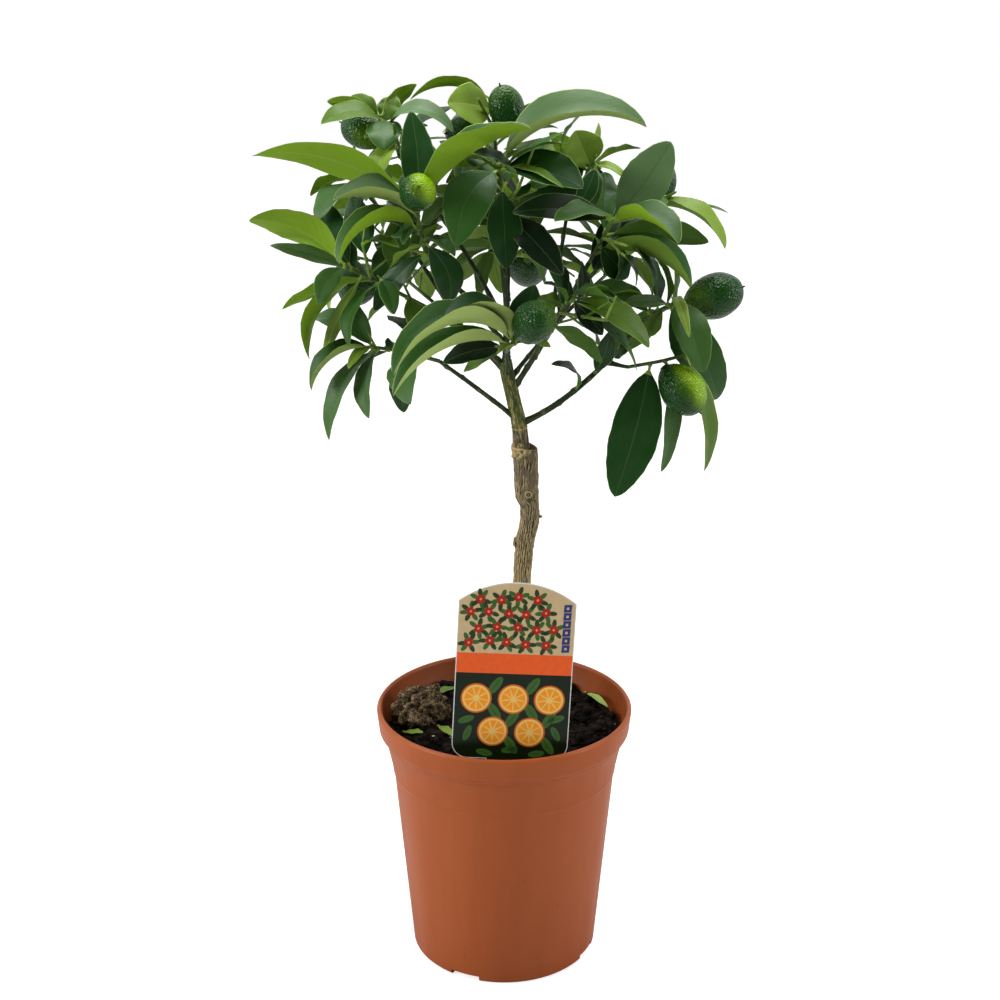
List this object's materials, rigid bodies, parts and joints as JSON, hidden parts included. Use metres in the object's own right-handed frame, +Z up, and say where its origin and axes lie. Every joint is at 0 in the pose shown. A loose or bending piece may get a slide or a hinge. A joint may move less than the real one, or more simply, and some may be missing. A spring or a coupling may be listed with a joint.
{
  "type": "potted kumquat tree",
  "caption": "Young kumquat grown as a small grafted standard tree with a leafy crown and green fruit, in a filled terracotta-coloured plastic pot with a plant label.",
  "frame": {"origin": "middle of the pot's flat underside, on the surface that the pot stands on", "axes": "+Z up, -Y towards the side that the plant label faces, +X to the right as seen from there"},
  "size_m": [0.2601, 0.1836, 0.5107],
  "materials": {
    "pot": "satin terracotta-coloured plastic, finely spun",
    "soil": "rough dark peat compost",
    "label": "printed glossy plastic",
    "trunk": "rough grey-brown bark",
    "bough": "smooth dark green bark",
    "foliage": "leathery green leaves with green fruit"
  },
  "bodies": {
    "root": {"pot": "pot", "soil": "soil", "label": "label", "trunk": "trunk", "bough_left_low": "bough", "bough_right_mid": "bough", "bough_right_low": "bough", "bough_right_high": "bough", "bough_rear_right": "bough", "bough_rear_left": "bough", "bough_front": "bough", "bough_left_mid": "bough", "bough_rear": "bough", "bough_centre": "bough", "bough_front_right": "bough", "bough_left_high": "bough", "bough_crown_left": "bough", "bough_crown_top": "bough", "bough_crown_right": "bough", "bough_right_rear": "bough", "bough_left_rear": "bough", "bough_rear_high": "bough", "foliage_left_low": "foliage", "foliage_right_low": "foliage", "foliage_right_mid": "foliage", "foliage_left_mid": "foliage", "foliage_left_high": "foliage", "foliage_centre": "foliage", "foliage_right_high": "foliage", "foliage_front": "foliage", "foliage_front_right": "foliage", "foliage_crown_left": "foliage", "foliage_crown_top": "foliage", "foliage_crown_right": "foliage", "foliage_right_rear": "foliage", "foliage_left_rear": "foliage", "foliage_rear": "foliage", "foliage_rear_high": "foliage", "foliage_rear_right": "foliage", "foliage_rear_left": "foliage"}
  },
  "joints": []
}
